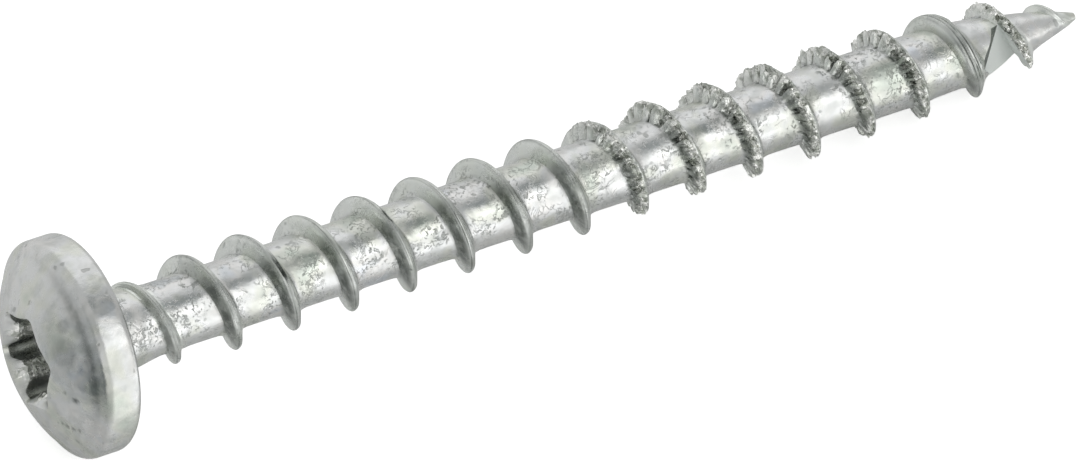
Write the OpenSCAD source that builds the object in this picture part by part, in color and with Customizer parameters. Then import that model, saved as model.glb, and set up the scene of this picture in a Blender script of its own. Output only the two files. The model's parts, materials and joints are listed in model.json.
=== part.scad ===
// Multi-purpose wood screw, 5 x 50 mm class, with a domed head and a six-lobe drive recess.
// The shank is threaded from the head to the point. The ridge is smooth near the head and
// toothed further down, where it cuts its own way into the wood.
// The screw is shown lying as it rests, on the rim of its head and one turn of its thread.
// The origin is the middle of the head's bearing face, and the point is towards +X.

/* [Head] */
// Diameter of the head
head_d = 10; // [8.5:0.1:12]
// Height of the head above its bearing face
head_h = 3.5; // [3.1:0.1:4.1]
// Height of the rim's upright band, up to where it rounds into the dome
rim_h = 1.37; // [0.8:0.01:1.6]
// Radius between the dome and the rim
rim_r = 0.5; // [0.2:0.05:0.6]
// Angle up this rounding at which the dome starts
dome_edge = 65; // [62:1:80]
// Radius between the rim and the bearing face
bearing_edge_r = 0.4; // [0.1:0.05:0.5]

/* [Drive recess] */
// Size of the recess across opposite lobes
drive_d = 4.5; // [3.9:0.05:5.1]
// Size of the recess across opposite ribs
drive_rib_d = 3.27; // [3:0.01:3.6]
// Radius of a lobe's end
drive_lobe_r = 0.36; // [0.25:0.01:0.45]
// Depth of the lobed walls below the top of the dome
drive_depth = 2.2; // [1.6:0.1:2.6]
// Slope of the recess's conical floor
drive_floor_angle = 20; // [10:1:30]
// Width of the flat ledge between the ribs and this floor
drive_ledge = 0.08; // [0.03:0.01:0.2]
// Turn of the recess about the screw's axis
drive_turn = 1; // [0:1:59]

/* [Shank] */
// Length from the bearing face to the point
length = 50; // [40:0.5:60]
// Diameter of the core under the thread
core_d = 3.2; // [2.6:0.05:3.7]
// Diameter of the stronger neck where it meets the head
neck_d = 4.1; // [3.3:0.05:5]
// Length over which the neck narrows to the core
neck_length = 3; // [2:0.1:5]
// Radius of the fillet between the neck and the bearing face
neck_fillet_r = 0.3; // [0.1:0.05:0.6]

/* [Thread] */
// Outer diameter of the thread
thread_d = 4.85; // [4.2:0.05:5.6]
// Distance between turns
pitch = 2.92; // [2.3:0.02:3.6]
// Width of the flat on the ridge's crest
crest_w = 0.14; // [0.1:0.02:0.3]
// Width taken off each corner of the crest
crest_bevel_w = 0.1; // [0.04:0.01:0.14]
// Height taken off each corner of the crest
crest_bevel_h = 0.12; // [0.05:0.01:0.2]
// Slope of each flank of the ridge
flank_angle = 20; // [12:1:28]
// Distance from the bearing face to the start of the ridge
thread_start = 1.2; // [0.8:0.1:4]
// Distance over which the ridge rises out of the neck to its full height
run_out = 5.6; // [3:0.1:9]
// How slowly the ridge comes to its full height at the end of its rise
run_out_bend = 2.2; // [1.5:0.1:3]
// Turn of the ridge's start about the screw's axis
thread_turn = 11.4; // [0:0.1:359]

/* [Thread near the point] */
// Distance from the point over which the ridge gets lower and its turns lie closer
fade_start = 14; // [12:0.5:18]
// Distance from the point to where the ridge stops getting lower
fade_end = 6.5; // [5:0.1:8]
// Height of this lower ridge as a share of the full height
fade_share = 0.78; // [0.6:0.01:1]
// Distance between turns over this length
point_pitch = 2.84; // [2.3:0.02:3.6]
// Distance from the point to where the ridge starts to sink into the core
sink_start = 2.6; // [2:0.1:4]
// Distance from the point to the ridge's end
ridge_end = 0.7; // [0.5:0.1:1.2]

/* [Teeth] */
// Teeth on one turn of the ridge
teeth_per_turn = 22; // [14:1:26]
// Depth of the notches between the teeth
tooth_depth = 0.2; // [0.05:0.01:0.3]
// How far the notches reach into the flank on the head's side
tooth_undercut = 0.14; // [0:0.01:0.2]
// Distance from the bearing face to the first toothed turn
teeth_start = 25.6; // [15:0.1:28]
// Distance from the point to the last of the toothed turns
teeth_end = 8.6; // [7.5:0.1:10]

/* [Point] */
// Length of the cone at the point
point_length = 5.7; // [4.5:0.1:7]
// Distance from the point to where its cone becomes steeper
point_steep_length = 2.6; // [2:0.1:3.5]
// Diameter where the cone becomes steeper
point_steep_d = 1.84; // [1.4:0.02:2.1]
// Diameter of the blunt end
point_d = 0.4; // [0.2:0.05:0.6]
// Length over which the core narrows a little before the cone
core_taper_length = 3.6; // [2:0.1:6]
// Diameter of the core where the cone starts
core_end_d = 2.92; // [2.3:0.02:3.2]

/* [Cutting notch] */
// Distance from the point to where the notch's floor would cross the screw's axis
notch_foot = 3.95; // [3.5:0.05:4.2]
// Slope of the notch's floor against the screw's axis
notch_slope = 35; // [28:1:40]
// Turn of the notch's floor about the screw's axis
notch_turn = 260; // [0:1:359]
// Length of the notch's wall, along which its cutting edge lies
notch_wall = 1.85; // [1.4:0.05:2]
// Slant of the notch's wall against a circle around the screw
notch_wall_slant = 43; // [30:1:50]
// Slant of the notch's end against a circle around the screw
notch_end_slant = 29; // [20:1:32]
// Distance from the screw's axis sideways to the corner of the notch's wall and end
notch_side = 1.4; // [1.2:0.05:1.6]
// Distance from the notch's foot back to this corner
notch_back = 0.55; // [0.4:0.05:1]

/* [Hidden] */
$fn = 96;

head_r = head_d / 2;
core_r = core_d / 2;
neck_r = neck_d / 2;
thread_r = thread_d / 2;
full_height = thread_r - core_r;

// How far the ridge is rooted in the core, and how far solids that are joined or cut run on
root_depth = 0.25;
overlap = 1;

// Angles between the stations of the ridge, where it is plain and where it is toothed
plain_step = 12;
tooth_step = 180 / teeth_per_turn;

// The dome's arc goes from its edge on the rim's rounding to the top of the head
rim_x = head_r - rim_r;
dome_edge_x = rim_x + rim_r * cos(dome_edge);
dome_edge_y = rim_h + rim_r * sin(dome_edge);
dome_rise = head_h - dome_edge_y;
dome_r = (dome_edge_x * dome_edge_x + dome_rise * dome_rise) / (2 * dome_rise);
dome_y = head_h - dome_r;

// Radius of a rib's arc, which touches the arcs of the lobes on both sides of it
lobe_x = drive_d / 2 - drive_lobe_r;
rib_x = drive_rib_d / 2;
rib_r = (drive_lobe_r * drive_lobe_r - lobe_x * lobe_x - rib_x * rib_x + 2 * lobe_x * rib_x * cos(30))
    / (2 * (rib_x - lobe_x * cos(30) - drive_lobe_r));

// Flat steps on each half of such an arc
arc_steps = 6;
function arc_point(radius, angle) = radius * [cos(angle), sin(angle)];
function turned(point, angle) =
    [point[0] * cos(angle) - point[1] * sin(angle), point[0] * sin(angle) + point[1] * cos(angle)];

// Places along the screw, all measured from the bearing face
taper_start = length - point_length - core_taper_length;
cone_start = length - point_length;
steep_start = length - point_steep_length;
fade_x = length - fade_start;
thread_end = length - ridge_end;

// The core's radius at each place along the screw
core_stations = [
    [0, neck_r],
    [neck_fillet_r, neck_r],
    [neck_length, core_r],
    [taper_start, core_r],
    [cone_start, core_end_d / 2],
    [steep_start, point_steep_d / 2],
    [length, point_d / 2]
];

// How deep both ends of the ridge lie in the core, as a share of the full height
start_sink = 0.06;
end_sink = 0.1;

// The ridge's height at each place along the screw, as a share of its full height
height_stations = [
    [fade_x, 1],
    [length - fade_end, fade_share],
    [length - sink_start, fade_share],
    [thread_end, -end_sink]
];

function clamp(x, low, high) = min(max(x, low), high);
function core_at(x) = lookup(x, core_stations);
function rise_at(x) =
    let (rise = 1 - pow(1 - clamp((x - thread_start) / run_out, 0, 1), run_out_bend))
    (1 + start_sink) * rise - start_sink;
function height_at(x) = full_height * rise_at(x) * lookup(x, height_stations);

// The ridge's angle at a place along the screw, and the other way round
function angle_at(x) =
    360 * (min(x, fade_x) - thread_start) / pitch + 360 * max(x - fade_x, 0) / point_pitch;
fade_angle = angle_at(fade_x);
function distance_at(angle) =
    thread_start + pitch * min(angle, fade_angle) / 360 + point_pitch * max(angle - fade_angle, 0) / 360;
function spread(from, to, step) =
    let (n = max(1, ceil((to - from) / step)))
    [for (i = [0:n - 1]) from + (to - from) * i / n];

// Each station of the ridge is its angle from the start, and whether it lies in a notch
first_tooth = angle_at(teeth_start);
tooth_count = floor((angle_at(length - teeth_end) - first_tooth) / (2 * tooth_step));
last_tooth = first_tooth + 2 * tooth_step * tooth_count;
last_angle = angle_at(thread_end);
ridge_stations = concat(
    [for (a = spread(0, first_tooth, plain_step)) [a, 0]],
    [for (i = [0:2 * tooth_count - 1]) [first_tooth + i * tooth_step, i % 2]],
    [for (a = spread(last_tooth, last_angle, plain_step)) [a, 0]],
    [[last_angle, 0]]
);

// The ridge's section at a station, as distance along the screw from its middle and radius
function ridge_section(x, notched) =
    let (
        core = core_at(x),
        crest = core + height_at(x) - notched * tooth_depth,
        shoulder = crest - crest_bevel_h,
        root = max(core - root_depth, core / 3),
        crest_half = crest_w / 2,
        shoulder_half = crest_half + crest_bevel_w,
        root_half = shoulder_half + (shoulder + notched * tooth_depth - root) * tan(flank_angle)
    )
    [
        [-root_half, root],
        [notched * tooth_undercut - shoulder_half, shoulder],
        [notched * tooth_undercut - crest_half, crest],
        [crest_half, crest],
        [shoulder_half, shoulder],
        [root_half, root]
    ];
function ridge_ring(station) =
    let (
        x = distance_at(station[0]),
        turn = thread_turn + station[0]
    )
    [for (p = ridge_section(x, station[1])) [p[1] * cos(turn), p[1] * sin(turn), x + p[0]]];

// The turn that the screw lies on is the one that lets its point sink least
turns_down = [
    for (i = [1:floor((last_angle + thread_turn) / 360)])
        distance_at(360 * i - thread_turn)
];
rest_tilt = min([
    for (x = turns_down) if (x > length / 2)
        atan((head_r - core_at(x) - height_at(x)) / (x + bearing_edge_r))
]);

// Half of the head's outline, with its bearing face at height zero
module head_profile() {
    dome_angle = atan2(dome_edge_y - dome_y, dome_edge_x);
    dome_foot = rim_h + rim_r * sin(dome_angle);
    polygon([
        [0, 0], [head_r - bearing_edge_r, 0], [head_r, bearing_edge_r],
        [head_r, rim_h], [rim_x, dome_foot], [0, dome_foot]
    ]);
    translate([head_r - bearing_edge_r, bearing_edge_r]) circle(bearing_edge_r);
    translate([rim_x, rim_h]) circle(rim_r);
    intersection() {
        translate([0, dome_y]) circle(dome_r);
        translate([0, dome_foot]) square([head_r, head_h]);
    }
}

// The six-lobed outline. Each lobe's arc bulges out and each rib's arc bulges in, and they
// touch on the line between their centres.
module drive_outline() {
    lobe_centre = [lobe_x, 0];
    rib_centre = (rib_x + rib_r) * [cos(30), sin(30)];
    slope = atan2(rib_centre[1], rib_centre[0] - lobe_x);
    polygon([
        for (i = [0:5]) each [
            for (a = [-arc_steps:arc_steps])
                turned(lobe_centre + arc_point(drive_lobe_r, slope * a / arc_steps), 60 * i),
            for (a = [1 - arc_steps:arc_steps - 1])
                turned(rib_centre + arc_point(rib_r, 210 + (30 - slope) * a / arc_steps), 60 * i)
        ]
    ]);
}

// The drive recess, a lobed well with a conical floor
module drive_recess() {
    floor_r = rib_x - drive_ledge;
    floor_z = head_h - drive_depth;
    floor_h = floor_r * tan(drive_floor_angle);
    translate([0, 0, floor_z])
    linear_extrude(drive_depth + overlap)
    drive_outline();
    translate([0, 0, floor_z - floor_h])
    cylinder(h = floor_h, r1 = 0, r2 = floor_r);
}

// The head, a domed disc with a rounded rim, with its bearing face at height zero
module head() {
    difference() {
        rotate_extrude() head_profile();
        rotate(drive_turn) drive_recess();
    }
}

// Half of the core's outline, from inside the head to the point
module core_profile() {
    difference() {
        translate([0, -overlap]) square([neck_r + neck_fillet_r, overlap + neck_fillet_r]);
        translate([neck_r + neck_fillet_r, neck_fillet_r]) circle(neck_fillet_r);
    }
    polygon([
        [0, -overlap],
        [neck_r, -overlap],
        for (s = core_stations) [s[1], s[0]],
        [0, length]
    ]);
}

// The thread's ridge, its stations joined by flat facets and closed at both ends
module thread_ridge() {
    rings = [for (s = ridge_stations) ridge_ring(s)];
    n = len(rings[0]);
    last = n * (len(rings) - 1);
    sides = [
        for (i = [0:len(rings) - 2]) for (j = [0:n - 1])
            let (a = n * i + j, b = n * i + (j + 1) % n)
            each [[a, b, b + n], [a, b + n, a + n]]
    ];
    ends = [
        [for (j = [0:n - 1]) n - 1 - j],
        [for (j = [0:n - 1]) last + j]
    ];
    polyhedron([for (r = rings) each r], concat(sides, ends));
}

// The block that cuts the notch. Its outline is drawn as seen from the notch's side, with the
// screw's axis upright, and its underside is the notch's sloping floor.
module notch_cutter() {
    corner = [-notch_side, -notch_back];
    wall_foot = corner + notch_wall * [cos(notch_wall_slant), -sin(notch_wall_slant)];
    ridge_slant = atan(point_pitch / (PI * core_end_d));
    reach = thread_r + overlap;
    translate([0, 0, length - notch_foot])
    rotate(notch_turn)
    intersection() {
        rotate([0, -notch_slope, 0])
        translate([0, -reach, -2 * reach])
        cube([2 * reach, 2 * reach, 4 * reach]);
        rotate([90, 0, 90])
        linear_extrude(reach)
        polygon([
            corner,
            wall_foot,
            [reach, wall_foot[1] + (reach - wall_foot[0]) * tan(ridge_slant)],
            [reach, corner[1] + (reach - corner[0]) * tan(notch_end_slant)]
        ]);
    }
}

module screw() {
    color("silver")
    rotate([0, 90 + rest_tilt, 0]) {
        mirror([0, 0, 1]) head();
        difference() {
            union() {
                rotate_extrude() core_profile();
                thread_ridge();
            }
            notch_cutter();
        }
    }
}

screw();
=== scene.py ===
"""The look of a bright zinc plated multi-purpose screw, lying on a pale studio floor.

The screw is modelled again as one closed mesh, finer than the solid that it stands for: rings
of points for the head, its recess and the neck, then a grid that follows the thread as a helix
all the way to the point, and last the cutting notch. Sizes are in millimetres and angles in
degrees, as in the part's source, and the finished mesh is scaled to metres.
"""

import json
import math

import bmesh
import bpy
import numpy as np
from mathutils import Matrix, Vector, noise


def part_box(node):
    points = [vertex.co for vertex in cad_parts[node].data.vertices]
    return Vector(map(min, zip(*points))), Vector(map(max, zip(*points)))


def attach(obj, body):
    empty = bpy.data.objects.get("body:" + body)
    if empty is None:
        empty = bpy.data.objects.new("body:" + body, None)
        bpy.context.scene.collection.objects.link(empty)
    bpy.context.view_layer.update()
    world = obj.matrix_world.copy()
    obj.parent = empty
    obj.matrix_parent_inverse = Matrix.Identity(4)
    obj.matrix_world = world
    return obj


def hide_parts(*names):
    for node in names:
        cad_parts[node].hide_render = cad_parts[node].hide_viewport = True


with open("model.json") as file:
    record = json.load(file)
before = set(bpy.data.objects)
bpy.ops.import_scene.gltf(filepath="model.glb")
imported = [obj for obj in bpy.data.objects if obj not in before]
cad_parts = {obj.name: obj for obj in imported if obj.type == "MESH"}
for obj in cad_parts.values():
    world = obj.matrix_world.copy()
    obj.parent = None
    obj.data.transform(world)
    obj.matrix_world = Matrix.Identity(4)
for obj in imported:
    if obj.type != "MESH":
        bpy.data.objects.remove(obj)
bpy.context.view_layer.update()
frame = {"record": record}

# Noise vectors take their offsets from the clock unless they are seeded
noise.seed_set(1)

MM = 0.001

# Head, whose radius is a hair under the solid's 5.0 to stay inside the solid's faceted box
HEAD_R = 4.994
HEAD_H = 3.5
RIM_H = 1.37
RIM_R = 0.5
DOME_EDGE = 65.0
DOME_RINGS = 25
BEARING_EDGE_R = 0.4

# Drive recess, and how far out and down its mouth is bevelled over the lobes and the ribs
LOBE_REACH = 2.25
LOBE_R = 0.36
RIB_REACH = 1.635
DRIVE_DEPTH = 2.2
DRIVE_FLOOR_ANGLE = 20.0
DRIVE_LEDGE = 0.08
DRIVE_CORNER = 0.07
DRIVE_TURN = 1.0
LOBE_MOUTH = (0.10, 0.22)
RIB_MOUTH = (0.40, 0.66)

# Shank and point, with the core's radius at each distance from the bearing face
LENGTH = 50.0
NECK_R = 2.05
NECK_FILLET_R = 0.3
CORE_X = [0.0, 0.3, 3.0, 40.7, 44.3, 47.4, 49.75, 50.0]
CORE_R = [2.05, 2.05, 1.6, 1.6, 1.46, 0.92, 0.28, 0.1]
CORE_ROUNDING = (-0.3, -0.15, 0.0, 0.15, 0.3)

# Thread, with the share of its height that it has at each distance: full as far as 36 mm, crushed
# at 46 mm beside the notch, higher again behind it, and gone before the tip
THREAD_R = 2.425
FULL_HEIGHT = THREAD_R - 1.6
PITCH = 2.92
POINT_PITCH = 2.84
FADE_START_X = 36.0
THREAD_START = 1.2
RUN_OUT = 5.6
RUN_OUT_BEND = 2.2
RUN_OUT_SINK = 0.06
BEFORE_START_SLOPE = 0.4
THREAD_TURN = 11.4
HEIGHT_X = [
    36.0, 43.5, 45.3, 45.5, 45.7, 45.85, 46.1, 46.3,
    46.42, 46.52, 46.62, 46.74, 46.9, 47.4, 48.3, 49.4,
]
HEIGHT_SHARE = [
    1.0, 0.78, 0.76, 0.78, 0.93, 0.74, 0.52, 0.44,
    0.38, 0.58, 0.60, 0.42, 0.76, 0.78, 0.62, -0.1,
]

# The ridge's section towards the head and towards the point: half the width of its crest, how
# far the crest's shoulder drops, and the slope of the flank
HEAD_SIDE = (0.19, 0.13, 3.7)
POINT_SIDE = (0.14, 0.08, 2.0)
CREST_SHIFT = 0.05
CREST_SEAM_S = 0.02
CREST_SEAM_WIDTH = 0.05
CREST_SEAM_DEPTH = 0.055
ROOT_BLEND = 0.18
ROOT_SWELL = 0.045

# The broad turn before the point, which has grooves along its crest, and the flank after it,
# which leans: where each begins and ends
BROAD_FROM_X = (42.2, 43.2)
BROAD_TO_X = (43.75, 44.1)
BROAD_WIDENING = 0.15
BROAD_GROOVES = 48.0
BROAD_GROOVE_DEPTH = 0.06
LEANING_FROM_X = (43.5, 43.9)
LEANING_TO_X = (44.7, 45.1)
LEANING_SLOPE = 0.9

# Teeth, and the crushed turn at the point
TEETH_PER_TURN = 22
TEETH_FROM_X = 25.4
TEETH_TO_X = 41.5
TEETH_PHASE_X = 25.6
TOOTH_GROOVE_DEPTH = 0.16
TOOTH_GROOVE_BACK = 0.20
TOOTH_LIFT = 0.18
CRUSH_FROM_X = 45.1
CRUSH_TO_X = 47.5

# How far crumpled metal is pushed out and in, and along the screw
COARSE_PUSH = 0.11
COARSE_PUSH_CRUSHED = 0.07
FINE_PUSH = 0.045
FINE_PUSH_CRUSHED = -0.03
MOST_PUSH = 0.05
COARSE_SHIFT = 0.12
FINE_SHIFT = 0.07

# The slits, where the rolled crest has not quite closed: turn, angles and place on the crest.
# The angles are counted from the line along the screw that the photograph sees in the middle.
SLITS = [
    (3, -36.0, 16.0, -0.01),
    (5, -42.0, -14.0, 0.03),
    (7, -18.0, 10.0, 0.15),
]
MIDDLE_LINE = -136.26
SLIT_HALF_WIDTH = 0.09
SLIT_DEPTH = 0.16

# Cutting notch. The outline runs along its wall first, from where its floor is deepest, and the
# groove is a strip beside the wall, with its width at both ends.
NOTCH_FOOT_X = 46.05
NOTCH_FOOT_R = 0.28
NOTCH_SLOPE = 25.0
NOTCH_TURN = 260.0
NOTCH_OUTLINE = [(-1.4, -0.42), (-0.05, -1.84), (3.4, -0.74), (3.4, 2.11)]
NOTCH_GROOVE = (0.26, 0.94)
NOTCH_GROOVE_SLOPE = 0.2
NOTCH_OUT = 4.0
ALONG_PLANE = 0.999
OFF_PLANE = 0.003

# Grid: columns in a turn, and the rows of one turn of the thread, measured from its crest. Three
# more rows reach to the grooves on its two sides. The helix is followed somewhat past the last
# ring, so that its last turn closes.
COLUMNS = 192
HALF_ROWS = [0.045, 0.09, 0.13, 0.17, 0.22, 0.29, 0.36, 0.42, 0.48, 0.56, 0.70]
ROWS = [-s for s in reversed(HALF_ROWS)] + HALF_ROWS
ROW_COUNT = len(ROWS) + 3
GRID_START_X = 0.5
GRID_END_X = 49.95
GRID_OVERRUN = 600.0
WELD = 0.0008
SLIVER = 0.0002

# The helix UV's second number is the place beside the crest, and this on the head and the tip
OFF_THREAD_V = 9.0

# Painted shade on the head: in the recess, on the lobes' walls, on one side of the rim, under the
# head, in the neck's fillet and on the shank's first ring; and the line pressed into the dome near
# its edge
RECESS_SHADE = 0.05
LOBE_WALL_SHADE = 0.62
RIM_SHADE = 0.22
BEARING_SHADE = 0.1
NECK_SHADE = 0.3
FIRST_RING_SHADE = 0.05
EDGE_LINE_R = 4.45
EDGE_LINE_WIDTH = 0.14
EDGE_LINE_DEPTH = 0.03

# Marks on the dome: radius and angle of its middle, its own radius, depth and grime
DENTS = [
    (3.34, 4.0, 0.80, 0.012, 0.30),
    (3.75, -14.0, 0.40, 0.01, 0.30),
    (3.53, 41.0, 0.17, 0.03, 0.75),
    (3.20, 75.0, 0.12, 0.02, 0.65),
    (3.42, 73.0, 0.13, 0.02, 0.70),
    (3.66, 71.0, 0.13, 0.02, 0.70),
    (3.90, 68.0, 0.11, 0.02, 0.60),
    (2.95, -53.0, 0.12, 0.02, 0.60),
    (3.0, 38.0, 0.10, 0.02, 0.50),
    (4.1, 82.0, 0.10, 0.02, 0.45),
]

# A raised ring on the dome: radius and angle of its middle, its own radius, width and height
RING_MARK = (3.34, 4.0, 0.34, 0.07, 0.03)

# A painted dark reflection along the dome's edge: radius, angle of its middle, width, spread and how
# dark it is
DOME_EDGE_DARK_REFLECTION = (4.42, 6.0, 0.20, 52.0, 0.60)


def smooth(low, high, value):
    """0 below low, 1 above high, and a smooth rise between them."""
    t = np.clip((value - low) / (high - low), 0.0, 1.0)
    return t * t * (3.0 - 2.0 * t)


def bell(value, middle, width):
    """1 in the middle, with a soft fall to 0 on both sides."""
    return np.exp(-(((value - middle) / width) ** 2))


def angle_at(x):
    """The ridge's angle where it passes a distance from the bearing face."""
    on_shank = (min(x, FADE_START_X) - THREAD_START) / PITCH
    near_point = max(x - FADE_START_X, 0.0) / POINT_PITCH
    return 360.0 * (on_shank + near_point)


FADE_ANGLE = angle_at(FADE_START_X)


def distance_at(angle):
    """The other way round, for an array of angles."""
    on_shank = np.minimum(angle, FADE_ANGLE) / 360.0 * PITCH
    near_point = np.maximum(angle - FADE_ANGLE, 0.0) / 360.0 * POINT_PITCH
    return THREAD_START + on_shank + near_point


def core_radius(x):
    """The core's radius, with the corners of its outline rounded off."""
    return sum(np.interp(x + s, CORE_X, CORE_R) for s in CORE_ROUNDING) / len(CORE_ROUNDING)


def ridge_height(x):
    """How far the crest stands above the core."""
    rise = np.clip((x - THREAD_START) / RUN_OUT, 0.0, 1.0)
    share = (1.0 + RUN_OUT_SINK) * (1.0 - (1.0 - rise) ** RUN_OUT_BEND) - RUN_OUT_SINK
    share = share - BEFORE_START_SLOPE * np.maximum(THREAD_START - x, 0.0)
    return FULL_HEIGHT * share * np.interp(x, HEIGHT_X, HEIGHT_SHARE)


def noise_at(points, size, seed):
    """Smooth noise from -1 to 1 at each point, with features of the given size."""
    shift = Vector((17.3 * seed, -9.1 * seed, 5.7 * seed))
    return np.array([noise.noise(Vector(p) / size + shift) for p in points])


def hash_of(numbers, seed):
    """An even pseudo-random number from 0 to 1 for each whole number."""
    return np.abs(np.sin(numbers * 12.9898 + seed * 78.233) * 43758.5453) % 1.0


def chunks_at(points, size, seed):
    """Uneven blocks from -1 to 1 at each point, as metal that has crumpled into lumps."""
    shift = Vector((7.3 * seed, 3.1 * seed, -5.7 * seed))
    values = []
    for p in points:
        place = Vector(p) / size + shift
        values.append(2.0 * noise.cell(place + 0.9 * noise.noise_vector(place * 0.8)) - 1.0)
    return np.array(values)


def slit_depth(angle, s):
    """1 in the middle of a slit and 0 outside it."""
    depth = np.zeros_like(s)
    for turn, start, end, place in SLITS:
        middle = (start + end) / 2.0 + MIDDLE_LINE - THREAD_TURN + 360.0 * turn
        along = np.clip(1.4 - 1.4 * np.abs(angle - middle) / ((end - start) / 2.0), 0.0, 1.0)
        across = np.abs(s - place) / SLIT_HALF_WIDTH
        depth = np.maximum(depth, np.clip(1.3 * along - across, 0.0, 1.0))
    return depth


def teeth_at(angle, points, toothed):
    """Grooves between the teeth, of uneven depth, width and place, and each tooth's own height."""
    phase = (angle - angle_at(TEETH_PHASE_X)) / 360.0 * TEETH_PER_TURN
    phase = phase + 0.45 * noise_at(points, 1.1, 1)
    tooth = np.floor(phase)
    width = 0.18 + 0.22 * hash_of(tooth, 2)
    groove = smooth(0.0, 0.7, 1.15 - np.abs(phase - tooth - 0.5) / width)
    groove *= (0.3 + 0.9 * hash_of(tooth, 3)) * toothed
    lift = (hash_of(np.floor(phase + 0.5), 4) - 0.75) * TOOTH_LIFT * toothed
    return groove, lift


class ThreadPlaces:
    """The thread at places beside the ridge's crest: where they lie, and the metal's state there.

    angle is the helix's angle and s the distance from the crest along the screw.
    """

    def __init__(self, angle, s, x):
        self.s = s
        self.x = x
        self.beta = np.radians(angle + THREAD_TURN)
        self.points = np.stack([2.2 * np.cos(self.beta), 2.2 * np.sin(self.beta), x], axis=1)
        ridge_x = distance_at(angle)
        self.height = ridge_height(ridge_x)
        self.full = np.clip(self.height / FULL_HEIGHT, 0.0, 1.0)

        self.toothed = smooth(TEETH_FROM_X - 0.3, TEETH_FROM_X + 0.5, ridge_x)
        self.toothed *= 1.0 - smooth(TEETH_TO_X - 0.4, TEETH_TO_X + 0.4, ridge_x)
        self.crushed = smooth(CRUSH_FROM_X - 0.3, CRUSH_FROM_X + 0.2, ridge_x)
        self.crushed *= 1.0 - smooth(CRUSH_TO_X - 0.3, CRUSH_TO_X + 0.3, ridge_x)
        self.rough = np.maximum(self.toothed, self.crushed)
        self.broad = smooth(*BROAD_FROM_X, ridge_x) * (1.0 - smooth(*BROAD_TO_X, ridge_x))
        self.leaning = smooth(*LEANING_FROM_X, ridge_x) * (1.0 - smooth(*LEANING_TO_X, ridge_x))
        self.leaning *= s > 0.0

        self.head_side = 1.0 - smooth(0.03, 0.15, s)
        self.groove, self.lift = teeth_at(angle, self.points, self.toothed)
        self.slit = slit_depth(angle, s)
        self.crumple()

    def noise(self, size, seed):
        return noise_at(self.points, size, seed)

    def crumple(self):
        """Crumpled metal on the crest and on the top of the flank towards the head."""
        crumpled = self.rough * smooth(-0.42, -0.16, self.s) * (1.0 - smooth(0.05, 0.14, self.s))
        coarse = 0.5 * self.noise(0.40, 5) + 0.6 * chunks_at(self.points, 0.30, 6)
        fine = 0.5 * self.noise(0.17, 7) + 0.5 * chunks_at(self.points, 0.14, 8)
        push = (COARSE_PUSH + COARSE_PUSH_CRUSHED * self.crushed) * coarse
        push = push + (FINE_PUSH + FINE_PUSH_CRUSHED * self.crushed) * fine
        self.crumpled = crumpled
        self.hollow = np.clip(-coarse * 1.4 - 0.8 * fine, 0.0, 1.0) * crumpled
        self.push = crumpled * push
        self.shift = crumpled * (
            COARSE_SHIFT * self.noise(0.33, 9) + FINE_SHIFT * self.noise(0.15, 10)
        )


def drop_from_crest(at):
    """How far the surface lies under the crest's height, and the broad turn's own grooves."""
    s = at.s
    middle = CREST_SHIFT * (1.0 - at.broad)
    crest_s = s + at.shift + middle - TOOTH_GROOVE_BACK * at.groove * at.head_side
    half, shoulder, slope = (
        np.where(crest_s < 0.0, to_head, to_point)
        for to_head, to_point in zip(HEAD_SIDE, POINT_SIDE)
    )
    half = half + 0.04 * at.rough + BROAD_WIDENING * at.broad
    slope = slope - LEANING_SLOPE * at.leaning
    from_crest = np.abs(crest_s)
    on_crest = np.clip(from_crest / half, 0.0, 1.0)
    drop = shoulder * on_crest ** 3 + slope * np.maximum(from_crest - half, 0.0)

    # A shallow seam along the crest, and the grooves along the broad turn
    seam = CREST_SEAM_DEPTH * (0.5 + 0.5 * at.noise(2.0, 11)) + 0.02 * at.broad
    drop = drop + seam * bell(s, CREST_SEAM_S, CREST_SEAM_WIDTH) * (1.0 - at.rough)
    wavy = s + 0.03 * at.noise(1.2, 13)
    grooved = at.broad * (0.5 + 0.5 * np.cos(wavy * BROAD_GROOVES)) * (from_crest < half)
    drop = drop + BROAD_GROOVE_DEPTH * grooved

    drop = drop + TOOTH_GROOVE_DEPTH * at.groove * at.head_side
    return drop - at.lift * (0.3 + 0.7 * at.head_side), grooved


def thread_radius(at, drop):
    """The surface's distance from the screw's axis."""
    above = at.height - drop
    blend = np.clip((above + ROOT_BLEND) / (2.0 * ROOT_BLEND), 0.0, 1.0)
    ridge = np.where(above > ROOT_BLEND, above, ROOT_BLEND * blend * blend)

    # The metal swells a little where the ridge was rolled up from the core
    beside = 1.0 - smooth(0.42, 0.80, np.abs(at.s))
    swell = ROOT_SWELL * at.full * beside * (1.0 + at.noise(0.9, 12))
    push = np.minimum(at.push, MOST_PUSH) * np.clip(above / 0.3 + 0.3, 0.0, 1.0)
    ridge = np.maximum(ridge, np.minimum(swell, ridge + swell)) + push
    ridge = np.minimum(ridge, np.maximum(at.height + 0.02, 0.0))
    return core_radius(at.x) + ridge - SLIT_DEPTH * at.slit


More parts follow.
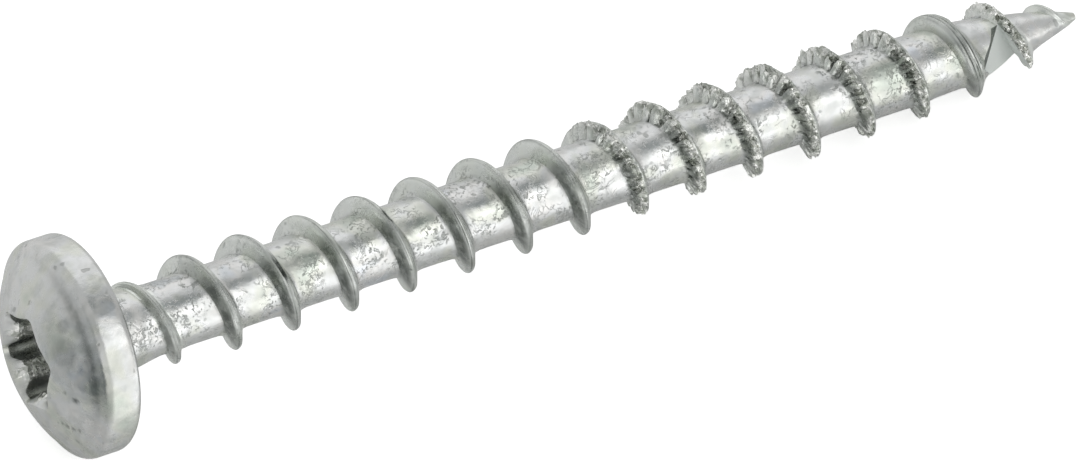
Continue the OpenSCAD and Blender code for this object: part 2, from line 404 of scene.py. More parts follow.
def thread_painted_shade(at, grooved):
    """How much painted shade lies on the thread: in its grooves, hollows, roots and slits, along the
    crest's edge, and on the flank and crest on one side of the screw.
    """
    s = at.s
    facing = smooth(0.42, 0.86, np.cos(at.beta - math.radians(MIDDLE_LINE + 26.0)))
    behind = 1.0 - facing
    plain = at.full * (1.0 - at.rough)
    in_groove = np.clip(at.groove * 1.2, 0.0, 1.0) * at.head_side * smooth(-0.6, -0.3, s)
    root = bell(s, -0.46, 0.05) * at.full
    flank = smooth(-0.46, -0.38, s) * (1.0 - smooth(-0.26, -0.16, s)) * at.full
    foot = smooth(0.35, 0.9, at.groove) * bell(s, -0.38, 0.07)
    crest = (1.0 - smooth(0.16, 0.26, np.abs(s - CREST_SEAM_S))) * plain
    edge = bell(s, -0.13, 0.035) * plain * (1.0 - at.broad)
    edge = edge * np.clip(0.35 + 0.5 * at.noise(0.9, 15), 0.0, 1.0)

    # Painted shade in the teeth's grooves (more on the other side of the screw), in crumpled hollows
    # and at the ridge's root
    painted_shade_and_dirt = (0.12 + 0.30 * behind) * in_groove + 0.15 * at.hollow + 0.30 * root
    # Painted shade on the flank on one side of the screw, in place of dark reflections
    painted_shade_and_dirt = painted_shade_and_dirt + (0.88 - 0.17 * at.toothed - 0.64 * at.broad) * flank * facing
    # Painted shade on the crest on the same side, which dims its highlight
    painted_shade_and_dirt = painted_shade_and_dirt + (0.34 + 0.3 * at.noise(0.8, 14)) * crest * facing
    # Painted shade in the slits, at the teeth's feet, in the broad turn's grooves and along the
    # crest's edge
    painted_shade_and_dirt = painted_shade_and_dirt + at.slit * 1.6 + (0.25 + 0.55 * behind) * foot + 0.6 * grooved + edge
    return np.clip(painted_shade_and_dirt, 0.0, 1.0)


def thread_surface(angle, s, x):
    """Radius, how crumpled the screw is and how much painted shade it gets, at places beside the
    ridge's crest.
    """
    at = ThreadPlaces(angle, s, x)
    drop, grooved = drop_from_crest(at)
    return thread_radius(at, drop), at.crumpled, thread_painted_shade(at, grooved)


def shank_grid():
    """Points, faces, face UVs and the two masks of the threaded shank."""
    last = int(math.ceil((angle_at(GRID_END_X) + GRID_OVERRUN) / 360.0 * COLUMNS))
    columns = np.arange(-COLUMNS, last)
    angle = columns * 360.0 / COLUMNS - THREAD_TURN
    ridge_x = distance_at(angle)
    bottom = (distance_at(angle - 360.0) + ridge_x) / 2.0 - ridge_x
    top = (distance_at(angle + 360.0) + ridge_x) / 2.0 - ridge_x

    offsets = [bottom, (bottom + ROWS[0]) / 2.0]
    offsets += [np.full(len(columns), s) for s in ROWS]
    offsets += [(top + ROWS[-1]) / 2.0]
    x = np.clip(ridge_x[:, None] + np.stack(offsets, axis=1), GRID_START_X, GRID_END_X)
    s = x - ridge_x[:, None]
    angles = np.repeat(angle[:, None], ROW_COUNT, axis=1)
    radius, crumpled, painted_shade_and_dirt = thread_surface(angles.ravel(), s.ravel(), x.ravel())
    beta = np.radians(angles.ravel() + THREAD_TURN)
    points = np.stack([radius * np.cos(beta), radius * np.sin(beta), x.ravel()], axis=1)

    faces = []
    uvs = []
    for c in range(len(columns) - COLUMNS - 1):
        for r in range(ROW_COUNT):
            # The last row of a turn is joined to the first row of the next turn
            inside = r + 1 < ROW_COUNT
            a = c * ROW_COUNT + r
            b = a + ROW_COUNT
            d = a + 1 if inside else (c + COLUMNS) * ROW_COUNT
            e = b + 1 if inside else (c + COLUMNS + 1) * ROW_COUNT
            faces.append((a, b, e, d))
            u0, u1 = angle[c] / 360.0, angle[c + 1] / 360.0
            v2 = s[c + 1, r + 1] if inside else top[c + 1]
            v3 = s[c, r + 1] if inside else top[c]
            uvs.append(((u0, s[c, r]), (u1, s[c + 1, r]), (u1, v2), (u0, v3)))
    return points, faces, uvs, crumpled, painted_shade_and_dirt


def recess_reach(angle):
    """How far the lobed outline reaches from the screw's axis at an angle."""
    lobe_x = LOBE_REACH - LOBE_R
    half_cos = math.cos(math.radians(30.0))
    touch = 2.0 * lobe_x * RIB_REACH * half_cos
    rib_r = (LOBE_R ** 2 - lobe_x ** 2 - RIB_REACH ** 2 + touch) / (
        2.0 * (RIB_REACH - lobe_x * half_cos - LOBE_R)
    )
    rib_x = RIB_REACH + rib_r
    folded = np.abs((angle - DRIVE_TURN + 30.0) % 60.0 - 30.0)
    to_rib = np.radians(30.0 - folded)
    folded = np.radians(folded)
    rib_y = rib_x * math.sin(math.radians(30.0))
    rib_across = rib_x * half_cos - lobe_x
    reach = LOBE_R / math.hypot(rib_across, rib_y)
    touch_angle = math.atan2(reach * rib_y, lobe_x + reach * rib_across)
    in_lobe = np.sqrt(np.maximum(LOBE_R ** 2 - (lobe_x * np.sin(folded)) ** 2, 0.0))
    in_rib = np.sqrt(np.maximum(rib_r ** 2 - (rib_x * np.sin(to_rib)) ** 2, 0.0))
    lobe = lobe_x * np.cos(folded) + in_lobe
    rib = rib_x * np.cos(to_rib) - in_rib
    return np.where(folded < touch_angle, lobe, rib)


def recess_rings(angle, dome):
    """Rings of the recess: its conical floor, its walls and its bevelled mouth."""
    reach = recess_reach(angle)
    ones = np.ones(COLUMNS)
    rings = []
    floor_r = RIB_REACH - DRIVE_LEDGE
    floor_z = HEAD_H - DRIVE_DEPTH
    floor_slope = math.tan(math.radians(DRIVE_FLOOR_ANGLE))
    for share in (0.02, 0.3, 0.6, 0.85, 1.0):
        drop = floor_r * (1.0 - share) * floor_slope
        rings.append((ones * floor_r * share, ones * (floor_z - drop), RECESS_SHADE))
    for inward, up in ((DRIVE_CORNER, 0.0), (0.02, 0.02), (0.0, DRIVE_CORNER)):
        rings.append((reach - inward, ones * (floor_z + up), RECESS_SHADE))

    ribness = 1.0 - smooth(RIB_REACH, LOBE_REACH, reach)
    from_lobe = np.abs((angle - DRIVE_TURN + 30.0) % 60.0 - 30.0)
    # Painted shade on the lobes' walls: dark at each lobe's sides, light in its middle and on the
    # ribs, fading over the mouth's bevel
    painted_shade_and_dirt = LOBE_WALL_SHADE * smooth(2.0, 6.0, from_lobe) * (1.0 - smooth(13.0, 20.0, from_lobe))
    mouth_out, mouth_down = (
        lobe + (rib - lobe) * ribness for lobe, rib in zip(LOBE_MOUTH, RIB_MOUTH)
    )
    edge = reach + mouth_out
    wall_top = dome(edge) - mouth_down
    for share in (0.25, 0.5, 0.75):
        height = floor_z + DRIVE_CORNER + share * (wall_top - floor_z - DRIVE_CORNER)
        rings.append((reach, height, painted_shade_and_dirt))
    for out, up in ((0.0, 0.0), (0.03, 0.07), (0.5, 0.5), (0.93, 0.93), (1.0, 0.985)):
        place = (reach + mouth_out * out, wall_top + mouth_down * up)
        rings.append((*place, painted_shade_and_dirt * (0.7 - 0.7 * out)))
    return rings, edge


def head_rings():
    """Radius, height over the bearing face and painted shade of each ring, from the recess to the
    neck.
    """
    angle = np.arange(COLUMNS) * 360.0 / COLUMNS
    ones = np.ones(COLUMNS)
    edge_x = HEAD_R - RIM_R + RIM_R * math.cos(math.radians(DOME_EDGE))
    edge_y = RIM_H + RIM_R * math.sin(math.radians(DOME_EDGE))
    rise = HEAD_H - edge_y
    dome_r = (edge_x ** 2 + rise ** 2) / (2.0 * rise)

    def dome(radius):
        return HEAD_H - dome_r + np.sqrt(dome_r ** 2 - radius ** 2)

    rings, start = recess_rings(angle, dome)
    for step in range(1, DOME_RINGS):
        radius = start + (edge_x - start) * step / float(DOME_RINGS)
        line = EDGE_LINE_DEPTH * bell(radius, EDGE_LINE_R, EDGE_LINE_WIDTH)
        rings.append((radius, dome(radius) - line, 0.0))

    # The rounded edge, the rim and the edge of the bearing face, with painted shade on one side of
    # the screw that dims the rim's highlight
    painted_shade_and_dirt = RIM_SHADE * smooth(0.3, 0.8, np.cos(np.radians(angle - MIDDLE_LINE - 38.0)))
    for turn in (62.0, 54.0, 46.0, 38.0, 30.0, 22.0, 14.0, 7.0, 0.0):
        out = RIM_R * math.cos(math.radians(turn))
        up = RIM_R * math.sin(math.radians(turn))
        rings.append((ones * (HEAD_R - RIM_R + out), ones * (RIM_H + up), painted_shade_and_dirt * out / RIM_R))
    for height in (1.1, 0.75):
        rings.append((ones * HEAD_R, ones * height, painted_shade_and_dirt))
    for turn in (0.0, 15.0, 30.0, 45.0, 60.0, 75.0, 90.0):
        inward = BEARING_EDGE_R * (1.0 - math.cos(math.radians(turn)))
        height = BEARING_EDGE_R * (1.0 - math.sin(math.radians(turn)))
        rings.append((ones * (HEAD_R - inward), ones * height, painted_shade_and_dirt))

    # The bearing face and the neck's fillet, with painted shade under the head
    for radius in (4.2, 3.6, 3.0, 2.6):
        rings.append((ones * radius, ones * 0.0, BEARING_SHADE))
    for turn in (0.0, 22.5, 45.0, 67.5, 90.0):
        out = NECK_FILLET_R * (1.0 - math.sin(math.radians(turn)))
        down = NECK_FILLET_R * (1.0 - math.cos(math.radians(turn)))
        rings.append((ones * (NECK_R + out), ones * -down, NECK_SHADE))
    return angle, rings


def away_from(points, radius, angle):
    """Each point's distance from a place on the dome, seen along the screw's axis."""
    turn = math.radians(angle + MIDDLE_LINE)
    middle_x, middle_y = radius * math.cos(turn), radius * math.sin(turn)
    return np.hypot(points[:, 0] - middle_x, points[:, 1] - middle_y)


def dent_dome(points, painted_shade_and_dirt):
    """Presses the marks into the dome, and paints a dark reflection along its edge."""
    on_dome = points[:, 2] < -RIM_H - 0.2
    for radius, angle, size, depth, dirt_and_shade in DENTS:
        away = away_from(points, radius, angle)
        share = (1.0 - smooth(0.55 * size, size, away)) * on_dome
        points[:, 2] += depth * share
        painted_shade_and_dirt[:] = np.maximum(painted_shade_and_dirt, dirt_and_shade * share)
    radius, angle, size, width, height = RING_MARK
    points[:, 2] -= height * bell(away_from(points, radius, angle), size, width) * on_dome
    # A painted dark reflection: a streak along the dome's edge
    radius, angle, width, spread, dirt_and_shade = DOME_EDGE_DARK_REFLECTION
    turn = np.degrees(np.arctan2(points[:, 1], points[:, 0])) - MIDDLE_LINE - angle
    turn = (turn + 180.0) % 360.0 - 180.0
    away = (np.hypot(points[:, 0], points[:, 1]) - radius) / width
    dark_reflection = dirt_and_shade * np.exp(-(away ** 2) - (turn / spread) ** 2) * on_dome
    painted_shade_and_dirt[:] = np.clip(painted_shade_and_dirt + dark_reflection, 0.0, 1.0)


def head_grid(shank_ring_radius):
    """Points, faces, face UVs and masks of the head, down to the shank's first ring."""
    angle, rings = head_rings()
    rings.append((shank_ring_radius, np.full(COLUMNS, -GRID_START_X), FIRST_RING_SHADE))
    beta = np.radians(angle)
    points = [
        np.stack([r * np.cos(beta), r * np.sin(beta), -h], axis=1) for r, h, _ in rings
    ]
    floor_tip = HEAD_H - DRIVE_DEPTH
    floor_tip -= (RIB_REACH - DRIVE_LEDGE) * math.tan(math.radians(DRIVE_FLOOR_ANGLE))
    points = np.concatenate(points + [np.array([[0.0, 0.0, -floor_tip]])])
    painted_shade_and_dirt = np.concatenate([np.full(COLUMNS, g) for _, _, g in rings] + [[RECESS_SHADE]])
    dent_dome(points, painted_shade_and_dirt)
    faces = []
    uvs = []
    centre = len(points) - 1
    for c in range(COLUMNS):
        n = (c + 1) % COLUMNS
        faces.append((centre, n, c))
        uvs.append(((c / COLUMNS, OFF_THREAD_V),) * 3)
        for r in range(len(rings) - 1):
            a = r * COLUMNS
            b = a + COLUMNS
            faces.append((a + c, a + n, b + n, b + c))
            uvs.append(((c / COLUMNS, OFF_THREAD_V),) * 4)

    # The recess is rough inside, apart from its stripes of painted shade
    in_recess = np.hypot(points[:, 0], points[:, 1]) < 1.85
    in_recess &= (points[:, 2] > -HEAD_H + 0.5) & (points[:, 2] < -1.3)
    rough = np.where(in_recess, 0.9 * (1.0 - painted_shade_and_dirt), 0.0)
    return points, faces, uvs, rough, painted_shade_and_dirt


def tip_cap(ring):
    """A fan that closes the blunt point over its last ring of points."""
    n = len(ring)
    points = np.concatenate([ring, np.array([[0.0, 0.0, LENGTH]])])
    faces = [(i, (i + 1) % n, n) for i in range(n)]
    uvs = [((i / n, OFF_THREAD_V),) * 3 for i in range(n)]
    return points, faces, uvs, np.zeros(n + 1), np.zeros(n + 1)


def build_screw_mesh():
    """The whole screw but the notch, as one closed mesh in millimetres with its axis upright."""
    shank = shank_grid()
    turn = COLUMNS * ROW_COUNT
    first_ring = shank[0][:turn:ROW_COUNT]
    head = head_grid(np.hypot(first_ring[:, 0], first_ring[:, 1]))
    tip = tip_cap(shank[0][-turn::ROW_COUNT])
    points, faces, uvs, rough, painted_shade_and_dirt = [], [], [], [], []
    start = 0
    for part in (head, shank, tip):
        points.append(part[0])
        faces += [tuple(i + start for i in f) for f in part[1]]
        uvs += part[2]
        rough.append(part[3])
        painted_shade_and_dirt.append(part[4])
        start += len(part[0])
    mesh = bpy.data.meshes.new("screw_look")
    mesh.from_pydata(np.concatenate(points).tolist(), [], faces)
    for name, values in (("rough", rough), ("painted_shade_and_dirt", painted_shade_and_dirt)):
        layer = mesh.attributes.new(name, "FLOAT", "POINT")
        layer.data.foreach_set("value", np.concatenate(values).astype(np.float32))
    uv_layer = mesh.uv_layers.new(name="helix")
    flat = [number for face in uvs for corner in face for number in corner]
    uv_layer.data.foreach_set("uv", np.array(flat, dtype=np.float32))

    work = bmesh.new()
    work.from_mesh(mesh)
    bmesh.ops.remove_doubles(work, verts=work.verts, dist=WELD)
    bmesh.ops.dissolve_degenerate(work, edges=work.edges, dist=SLIVER)
    loose = [v for v in work.verts if not v.link_faces]
    bmesh.ops.delete(work, geom=loose, context="VERTS")
    bmesh.ops.recalc_face_normals(work, faces=work.faces)
    work.to_mesh(mesh)
    work.free()
    return mesh


def notch_cutter():
    """The block that cuts the notch: a sloping floor, and a groove along the foot of its wall.

    With it come its sides as planes: the groove and the floor, the outer end, then each side of
    the outline, with the wall as the first of them.
    """
    slope = math.tan(math.radians(NOTCH_SLOPE))
    (y0, z0), (y1, z1), third, fourth = NOTCH_OUTLINE
    wall = math.hypot(y1 - y0, z1 - z0)
    inward = (-(z1 - z0) / wall, (y1 - y0) / wall)
    inner = [
        (y + inward[0] * width, z + inward[1] * width)
        for (y, z), width in zip(NOTCH_OUTLINE[:2], NOTCH_GROOVE)
    ]
    outline = [(y0, z0), (y1, z1), inner[1], third, fourth, inner[0]]
    deeper = [width * NOTCH_GROOVE_SLOPE for width in NOTCH_GROOVE] + [0.0] * 4
    work = bmesh.new()
    low = [
        work.verts.new((NOTCH_FOOT_R - z * slope - more, y, z))
        for (y, z), more in zip(outline, deeper)
    ]
    high = [work.verts.new((NOTCH_OUT, y, z)) for y, z in outline]
    work.faces.new([low[0], low[1], low[2], low[5]])
    work.faces.new([low[2], low[3], low[4], low[5]])
    work.faces.new(list(reversed(high)))
    for i in range(len(low)):
        n = (i + 1) % len(low)
        work.faces.new((low[i], high[i], high[n], low[n]))
    bmesh.ops.recalc_face_normals(work, faces=work.faces)
    work.faces.ensure_lookup_table()
    turn = Matrix.Rotation(math.radians(NOTCH_TURN), 4, "Z")
    place = Matrix.Translation((0.0, 0.0, NOTCH_FOOT_X)) @ turn
    planes = [(turn @ face.normal, place @ face.verts[0].co) for face in work.faces]
    mesh = bpy.data.meshes.new("notch_cutter")
    work.to_mesh(mesh)
    work.free()
    cutter = bpy.data.objects.new("notch_cutter", mesh)
    bpy.context.scene.collection.objects.link(cutter)
    cutter.matrix_world = place
    return cutter, planes


def cut_notch(screw):
    """Cuts the notch, applies the result to the mesh and marks the notch's own faces, with the
    groove and the wall marked for a painted shadow.
    """
    cutter, planes = notch_cutter()
    modifier = screw.modifiers.new("notch", "BOOLEAN")
    modifier.operation = "DIFFERENCE"
    modifier.solver = "EXACT"
    modifier.object = cutter
    bpy.context.view_layer.update()
    depsgraph = bpy.context.evaluated_depsgraph_get()
    cut = bpy.data.meshes.new_from_object(screw.evaluated_get(depsgraph))
    screw.modifiers.clear()
    screw.data = cut
    bpy.data.objects.remove(cutter)
    fresh = cut.attributes.new("fresh", "FLOAT", "FACE")
    seam = cut.attributes.new("seam", "FLOAT", "FACE")
    for face in cut.polygons:
        groove, floor, _, wall, *others = [
            face.normal.dot(normal) < -ALONG_PLANE
            and abs((face.center - point).dot(normal)) < OFF_PLANE
            for normal, point in planes
        ]
        fresh.data[face.index].value = float(floor or any(others))
        # The groove and the wall get a painted shadow
        seam.data[face.index].value = float(groove or wall)
    close_cut(cut)


def close_cut(mesh):
    """Splits the faces at the cut into triangles, and takes out pairs that lie on each other."""
    work = bmesh.new()
    work.from_mesh(mesh)
    large = [face for face in work.faces if len(face.verts) > 4]
    near = {f for face in large for vert in face.verts for f in vert.link_faces}
    bmesh.ops.triangulate(work, faces=sorted(near, key=lambda f: f.index))
    same = {}
    for face in work.faces:
        same.setdefault(frozenset(vert.index for vert in face.verts), []).append(face)
    doubled = [face for group in same.values() if len(group) > 1 for face in group]
    bmesh.ops.delete(work, geom=doubled, context="FACES_ONLY")
    loose = [edge for edge in work.edges if not edge.link_faces]
    bmesh.ops.delete(work, geom=loose, context="EDGES")
    loose = [vert for vert in work.verts if not vert.link_faces]
    bmesh.ops.delete(work, geom=loose, context="VERTS")
    work.to_mesh(mesh)
    work.free()


def lay_down(screw):
    """Turns the mesh from upright millimetres to the frame's lying metres."""
    axis = Vector(frame["record"]["mounts"][0]["axis"])
    tilt = math.atan2(-axis.z, axis.x)
    turn = Matrix.Rotation(math.radians(90.0) + tilt, 4, "Y")
    screw.data.transform(Matrix.Scale(MM, 4) @ turn)
    screw.data.polygons.foreach_set("use_smooth", [True] * len(screw.data.polygons))
    screw.data.set_sharp_from_angle(angle=math.radians(42.0))


class Graph:
    """A short way to write a material's nodes."""

    def __init__(self, tree):
        self.nodes = tree.nodes
        self.links = tree.links
        self.nodes.clear()

    def node(self, kind, **settings):
        made = self.nodes.new(kind)
        for name, value in settings.items():
            setattr(made, name, value)
        return made

    def put(self, source, socket):
        if isinstance(source, bpy.types.NodeSocket):
            self.links.new(source, socket)
        else:
            socket.default_value = source

    def maths(self, operation, a, b=0.0, clamp=False):
        made = self.node("ShaderNodeMath", operation=operation, use_clamp=clamp)
        self.put(a, made.inputs[0])
        self.put(b, made.inputs[1])
        return made.outputs[0]

    def times(self, a, b):
        return self.maths("MULTIPLY", a, b)

    def noise(self, place, scale, detail=3.0, roughness=0.55, distortion=0.0):
        made = self.node("ShaderNodeTexNoise")
        self.put(place, made.inputs["Vector"])
        made.inputs["Scale"].default_value = scale
        made.inputs["Detail"].default_value = detail
        made.inputs["Roughness"].default_value = roughness
        made.inputs["Distortion"].default_value = distortion
        return made.outputs["Fac"]

    def span(self, value, low, high, out_low=0.0, out_high=1.0):
        made = self.node("ShaderNodeMapRange", interpolation_type="SMOOTHSTEP")
        self.put(value, made.inputs["Value"])
        made.inputs["From Min"].default_value = low
        made.inputs["From Max"].default_value = high
        made.inputs["To Min"].default_value = out_low
        made.inputs["To Max"].default_value = out_high
        return made.outputs["Result"]

    def mix(self, amount, a, b):
        made = self.node("ShaderNodeMix", data_type="RGBA")
        self.put(amount, made.inputs["Factor"])
        self.put(a, made.inputs["A"])
        self.put(b, made.inputs["B"])
        return made.outputs["Result"]

    def mask(self, name):
        return self.node("ShaderNodeAttribute", attribute_name=name).outputs["Fac"]

    def split(self, vector):
        made = self.node("ShaderNodeSeparateXYZ")
        self.put(vector, made.inputs[0])
        return made.outputs


# Colours of the zinc: the slow tints of the plating, each with its place on the noise, and what
# lies over them
TINTS = [
    (0.30, (0.56, 0.60, 0.545, 1.0)),
    (0.42, (0.67, 0.68, 0.63, 1.0)),
    (0.52, (0.69, 0.70, 0.70, 1.0)),
    (0.64, (0.72, 0.715, 0.70, 1.0)),
    (0.75, (0.64, 0.665, 0.70, 1.0)),
]
RIDGE_COLOUR = (0.81, 0.84, 0.805, 1.0)
STREAK_COLOUR = (0.34, 0.36, 0.33, 1.0)
PIT_COLOUR = (0.22, 0.235, 0.22, 1.0)
BLOTCH_COLOUR = (0.42, 0.445, 0.43, 1.0)
FRESH_COLOUR = (0.735, 0.765, 0.745, 1.0)
CRUMPLE_DARK = (0.52, 0.54, 0.49, 1.0)
CRUMPLE_LIGHT = (0.98, 0.98, 0.95, 1.0)
# Near-black colour of the painted shade and of the dents' dirt
SHADE_AND_DIRT_COLOUR = (0.045, 0.058, 0.047, 1.0)


def zinc_tint(g, place):
    """Slow changes of tint over the plating: greenish, warm, neutral and bluish grey."""
    tint = g.node("ShaderNodeValToRGB")
    g.put(g.noise(place, 480.0, 2.0, 0.6), tint.inputs["Fac"])
    ramp = tint.color_ramp
    ramp.elements[0].position, ramp.elements[0].color = TINTS[0]
    ramp.elements[1].position, ramp.elements[1].color = TINTS[-1]
    for position, colour in TINTS[1:-1]:
        ramp.elements.new(position).color = colour
    return tint.outputs["Color"]


def zinc_pits(g, place, on_shank):
    """Specks that gather in patches, thin wrinkles in other patches, and a few lone pits."""
    patches = g.span(g.noise(place, 640.0, 2.0), 0.46, 0.60)
    specks = g.span(g.noise(place, 5200.0, 3.0, 0.6, 0.8), 0.53, 0.64)
    fold = g.maths("ABSOLUTE", g.maths("SUBTRACT", g.noise(place, 1500.0, 3.0, 0.6, 1.2), 0.5))
    wrinkles = g.span(fold, 0.006, 0.022, 1.0, 0.0)
    elsewhere = g.span(g.noise(place, 830.0, 1.0), 0.52, 0.64)
    wrinkles = g.times(g.times(wrinkles, elsewhere), 0.6)
    pits = g.times(g.maths("MAXIMUM", g.times(patches, specks), wrinkles), on_shank)
    lone = g.span(g.noise(place, 1900.0, 1.0), 0.70, 0.77)
    return g.maths("MAXIMUM", pits, g.times(lone, 0.7))


def zinc_streaks(g, helix, from_crest):
    """Rolling lines that run along the crest and the flanks."""
    stretched = g.node("ShaderNodeMapping")
    g.put(helix, stretched.inputs["Vector"])
    stretched.inputs["Scale"].default_value = (4.0, 22.0, 1.0)
    lines = g.noise(stretched.outputs["Vector"], 1.0, 3.0, 0.6)
    return g.times(g.span(lines, 0.48, 0.66), g.span(from_crest, 0.16, 0.26, 1.0, 0.0))


def zinc_colour(g, place, on_ridge, pits, streaks, glints):
    """The plating's tints, then streaks, pits, blotches, bare notch, crumpled teeth, and painted
    shade with the dents' dirt.
    """
    colour = g.mix(g.times(on_ridge, 0.65), zinc_tint(g, place), RIDGE_COLOUR)
    colour = g.mix(g.times(streaks, 0.40), colour, STREAK_COLOUR)
    colour = g.mix(g.times(pits, 0.60), colour, PIT_COLOUR)
    blotches = g.span(g.noise(place, 1300.0, 2.0, 0.5), 0.46, 0.66)
    blotches = g.times(blotches, g.maths("SUBTRACT", 1.0, on_ridge))
    colour = g.mix(g.times(blotches, 0.32), colour, BLOTCH_COLOUR)
    colour = g.mix(g.mask("fresh"), colour, FRESH_COLOUR)
    crumpled = g.mix(glints, CRUMPLE_DARK, CRUMPLE_LIGHT)
    colour = g.mix(g.times(g.mask("rough"), 0.85), colour, crumpled)
    # Painted shade with the dents' dirt, and a painted shadow along the notch's groove and wall
    uneven = g.span(g.noise(place, 2200.0, 3.0), 0.25, 0.60, 0.6, 1.0)
    painted_shade_and_dirt = g.times(g.mask("painted_shade_and_dirt"), uneven)
    painted_shade_and_dirt = g.maths("ADD", painted_shade_and_dirt, g.times(g.mask("seam"), 0.8), clamp=True)
    return g.mix(g.times(painted_shade_and_dirt, 0.95), colour, SHADE_AND_DIRT_COLOUR)


def zinc_relief(g, place, pits, streaks):
    """The surface's direction: waviness, grain, pits, rolling lines and the teeth's crumples."""
    facets = g.node("ShaderNodeTexVoronoi", feature="F1")
    g.put(place, facets.inputs["Vector"])
    facets.inputs["Scale"].default_value = 4200.0
    crumple = g.times(g.times(facets.outputs["Distance"], 0.06), g.mask("rough"))
    relief = g.times(g.noise(place, 1000.0, 1.0), 0.068)
    relief = g.maths("ADD", relief, g.times(g.noise(place, 2900.0, 2.0), 0.014))
    relief = g.maths("ADD", relief, g.times(g.noise(place, 9000.0, 2.0), 0.003))
    relief = g.maths("ADD", relief, crumple)
    relief = g.maths("SUBTRACT", relief, g.times(pits, 0.02))
    relief = g.maths("SUBTRACT", relief, g.times(streaks, 0.02))
    bump = g.node("ShaderNodeBump")
    bump.inputs["Strength"].default_value = 1.0
    bump.inputs["Distance"].default_value = MM
    g.put(relief, bump.inputs["Height"])
    return bump.outputs["Normal"]


def zinc_material():
    """Bright zinc plating: soft grey with faint tints, pits, dull patches and rolling lines."""
    material = bpy.data.materials.new("zinc_plated_steel")
    material.use_nodes = True
    g = Graph(material.node_tree)
    place = g.node("ShaderNodeTexCoord").outputs["Object"]
    helix = g.node("ShaderNodeUVMap", uv_map="helix").outputs["UV"]
    across = g.split(helix)["Y"]
    from_crest = g.maths("ABSOLUTE", across)
    on_ridge = g.span(from_crest, 0.36, 0.50, 1.0, 0.0)

    # Pits are rare on the head, near the point and on the ridge
    on_shank = g.span(across, 4.0, 5.0, 1.0, 0.12)
    before_point = g.span(g.split(place)["X"], 0.0425, 0.044, 1.0, 0.15)
    off_ridge = g.span(from_crest, 0.30, 0.46, 0.45, 1.0)
    pits = zinc_pits(g, place, g.times(g.times(on_shank, before_point), off_ridge))
    streaks = zinc_streaks(g, helix, from_crest)
    glints = g.span(g.noise(place, 2600.0, 3.0, 0.6, 0.5), 0.44, 0.53)

    roughness = g.span(g.noise(place, 900.0, 3.0), 0.3, 0.7, 0.20, 0.36)
    roughness = g.maths("ADD", roughness, g.times(pits, 0.2))
    roughness = g.maths("ADD", roughness, g.times(g.mask("fresh"), 0.30))
    shiny = g.times(g.times(g.mask("rough"), glints), 0.18)
    roughness = g.maths("SUBTRACT", roughness, shiny, clamp=True)
    metallic = g.maths("SUBTRACT", 1.0, g.times(g.mask("fresh"), 0.8))

    shader = g.node("ShaderNodeBsdfPrincipled")
    g.put(metallic, shader.inputs["Metallic"])
    g.put(zinc_colour(g, place, on_ridge, pits, streaks, glints), shader.inputs["Base Color"])
    g.put(roughness, shader.inputs["Roughness"])
    g.put(zinc_relief(g, place, pits, streaks), shader.inputs["Normal"])
    output = g.node("ShaderNodeOutputMaterial")
    g.put(shader.outputs[0], output.inputs["Surface"])
    return material


def add_screw():
    """The screw's piece, which stands for the solid node."""
    screw = bpy.data.objects.new("screw_look", build_screw_mesh())
    bpy.context.scene.collection.objects.link(screw)
    cut_notch(screw)
    lay_down(screw)
    screw.data.materials.clear()
    screw.data.materials.append(zinc_material())
    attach(screw, "root")
    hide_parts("screw")


# Camera: the photograph's view, from far off, with the place and width of its frame in mm
VIEW_ELEVATION = 43.40
VIEW_TURN = -119.22
FRAME_RIGHT = 19.68
FRAME_UP = 4.81
FRAME_WIDTH = 47.19
LENS = 700.0
SENSOR = 36.0


def add_camera():
    """A long lens that looks at the screw as the photograph does."""
    turn = math.radians(VIEW_TURN)
    rise = math.radians(VIEW_ELEVATION)
    back = Vector((math.cos(turn) * math.cos(rise), math.sin(turn) * math.cos(rise), math.sin(rise)))
    right = Vector((0.0, 0.0, 1.0)).cross(back).normalized()
    up = back.cross(right)
    target = (right * FRAME_RIGHT + up * FRAME_UP) * MM
    distance = FRAME_WIDTH * MM * LENS / SENSOR
    data = bpy.data.cameras.new("camera")
    data.lens = LENS
    data.sensor_width = SENSOR
    data.clip_start = distance * 0.5
    data.clip_end = distance * 3.0
    camera = bpy.data.objects.new("camera", data)
    camera.location = target + back * distance
    camera.rotation_mode = "QUATERNION"
    camera.rotation_quaternion = back.to_track_quat("Z", "Y")
    bpy.context.scene.collection.objects.link(camera)
    bpy.context.scene.camera = camera


# Floor, in metres: a round table top, and how brightly the camera and the metal see it, with a
# painted pool of light that only reflections see
FLOOR_MIDDLE = (0.052, 0.0)
FLOOR_R = 0.062
FLOOR_SIDES = 96
FLOOR_COLOUR = (0.86, 0.86, 0.86, 1.0)
FLOOR_GLOW = 0.62
REFLECTED_LIGHT_POOL = 0.95
WHITE = (1.0, 1.0, 1.0, 1.0)


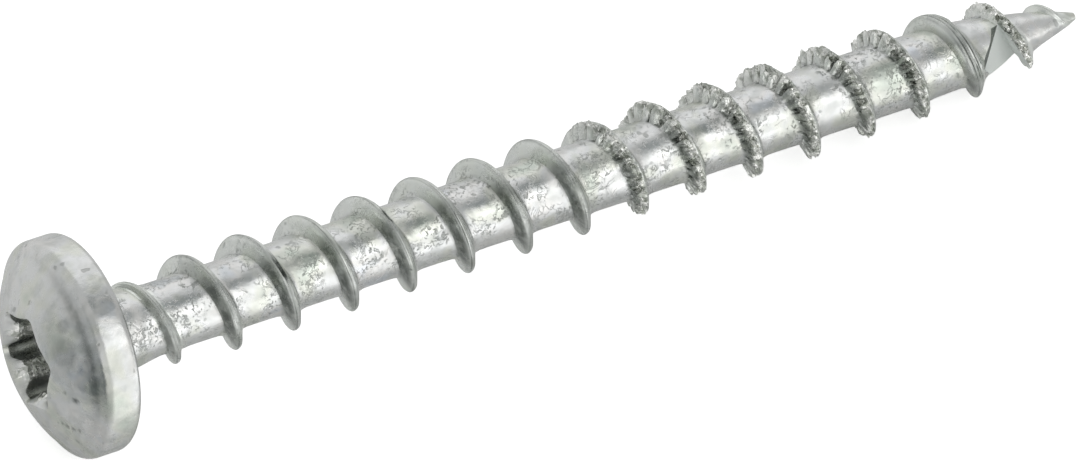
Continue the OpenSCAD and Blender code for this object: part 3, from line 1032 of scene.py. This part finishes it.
def floor_material():
    """A matt white floor, which shows as white but keeps the shadow, and glows in reflections as a
    painted pool of light.
    """
    material = bpy.data.materials.new("floor_white")
    material.use_nodes = True
    g = Graph(material.node_tree)
    matt = g.node("ShaderNodeBsdfDiffuse")
    matt.inputs["Color"].default_value = FLOOR_COLOUR
    glow = g.node("ShaderNodeEmission")
    glow.inputs["Color"].default_value = WHITE
    path = g.node("ShaderNodeLightPath")
    seen = g.times(path.outputs["Is Camera Ray"], FLOOR_GLOW)
    place = g.split(g.node("ShaderNodeTexCoord").outputs["Object"])
    # Painted pool of light: what reflections see is bright in front of the screw, and dark under it
    # and left of the head
    pool_in_front = g.span(place["Y"], -0.013, -0.003, REFLECTED_LIGHT_POOL, 0.0)
    painted_light_pool = g.times(pool_in_front, g.span(place["X"], -0.008, 0.002))
    mirrored = g.times(path.outputs["Is Glossy Ray"], painted_light_pool)
    g.put(g.maths("ADD", seen, mirrored), glow.inputs["Strength"])
    total = g.node("ShaderNodeAddShader")
    g.put(matt.outputs[0], total.inputs[0])
    g.put(glow.outputs[0], total.inputs[1])
    output = g.node("ShaderNodeOutputMaterial")
    g.put(total.outputs[0], output.inputs["Surface"])
    return material


def add_floor():
    """A plain round table top, just under the lowest point of the screw."""
    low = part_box("screw")[0].z
    middle_x, middle_y = FLOOR_MIDDLE
    turns = [2.0 * math.pi * i / FLOOR_SIDES for i in range(FLOOR_SIDES)]
    corners = [
        (middle_x + FLOOR_R * math.cos(turn), middle_y + FLOOR_R * math.sin(turn), low)
        for turn in turns
    ]
    mesh = bpy.data.meshes.new("floor")
    mesh.from_pydata(corners, [], [tuple(range(FLOOR_SIDES))])
    floor = bpy.data.objects.new("floor", mesh)
    bpy.context.scene.collection.objects.link(floor)
    mesh.materials.append(floor_material())


# The one lamp, a soft box: its direction from the middle of the screw, and metres and watts
LAMP_TOWARDS = (0.30, -0.70, 0.65)
LAMP_DISTANCE = 0.45
LAMP_SIZE = 0.25
LAMP_POWER = 0.14
SCREW_MIDDLE = (0.024, 0.0, 0.0)


def add_lamp():
    """A soft box that looks at the middle of the screw."""
    data = bpy.data.lights.new("key", "AREA")
    data.shape = "RECTANGLE"
    data.size = LAMP_SIZE
    data.size_y = LAMP_SIZE
    data.energy = LAMP_POWER
    lamp = bpy.data.objects.new("key", data)
    direction = Vector(LAMP_TOWARDS).normalized()
    lamp.location = Vector(SCREW_MIDDLE) + direction * LAMP_DISTANCE
    lamp.rotation_mode = "QUATERNION"
    lamp.rotation_quaternion = direction.to_track_quat("Z", "Y")
    bpy.context.scene.collection.objects.link(lamp)


# The studio as the metal sees it: its plain brightness, and the places that are darker or
# lighter, each with a direction, the start and end of its soft edge and its brightness. In
# order: back, back top, front, ceiling, left, front left, above left, dark corner, upper left.
STUDIO = (0.62, 0.625, 0.62, 1.0)
STUDIO_PARTS = [
    ((-0.20, 0.95, 0.20), 0.50, 0.98, (0.76, 0.765, 0.76, 1.0)),
    ((0.44, 0.60, 0.66), 0.82, 0.97, (1.04, 1.045, 1.05, 1.0)),
    ((0.42, -0.88, 0.22), 0.82, 0.95, (1.36, 1.365, 1.345, 1.0)),
    ((0.46, -0.27, 0.84), 0.952, 0.99, (0.27, 0.295, 0.295, 1.0)),
    ((-0.98, 0.10, -0.20), 0.88, 0.98, (0.46, 0.48, 0.48, 1.0)),
    ((-0.50, -0.85, 0.15), 0.80, 0.93, (0.95, 0.955, 0.94, 1.0)),
    ((-0.92, -0.12, 0.37), 0.93, 0.985, (0.40, 0.42, 0.42, 1.0)),
    ((-0.925, -0.30, -0.24), 0.945, 0.99, (0.17, 0.19, 0.20, 1.0)),
    ((-0.97, 0.12, 0.22), 0.975, 0.995, (0.60, 0.61, 0.61, 1.0)),
]


def light_world():
    """A plain soft studio: white to the camera, and softly uneven to everything else."""
    world = bpy.data.worlds.new("studio")
    bpy.context.scene.world = world
    world.use_nodes = True
    g = Graph(world.node_tree)
    direction = g.node("ShaderNodeTexCoord").outputs["Generated"]
    shade = STUDIO
    for towards, edge, full, brightness in STUDIO_PARTS:
        facing = g.node("ShaderNodeVectorMath", operation="DOT_PRODUCT")
        g.put(direction, facing.inputs[0])
        facing.inputs[1].default_value = Vector(towards).normalized()
        shade = g.mix(g.span(facing.outputs["Value"], edge, full), shade, brightness)
    dim = g.node("ShaderNodeBackground")
    g.put(shade, dim.inputs["Color"])
    dim.inputs["Strength"].default_value = 1.0
    white = g.node("ShaderNodeBackground")
    white.inputs["Color"].default_value = WHITE
    choice = g.node("ShaderNodeMixShader")
    path = g.node("ShaderNodeLightPath")
    g.put(path.outputs["Is Camera Ray"], choice.inputs["Fac"])
    g.put(dim.outputs[0], choice.inputs[1])
    g.put(white.outputs[0], choice.inputs[2])
    output = g.node("ShaderNodeOutputWorld")
    g.put(choice.outputs[0], output.inputs["Surface"])


add_screw()
add_floor()
add_camera()
light_world()
add_lamp()

bpy.context.scene.view_settings.view_transform = "Standard"
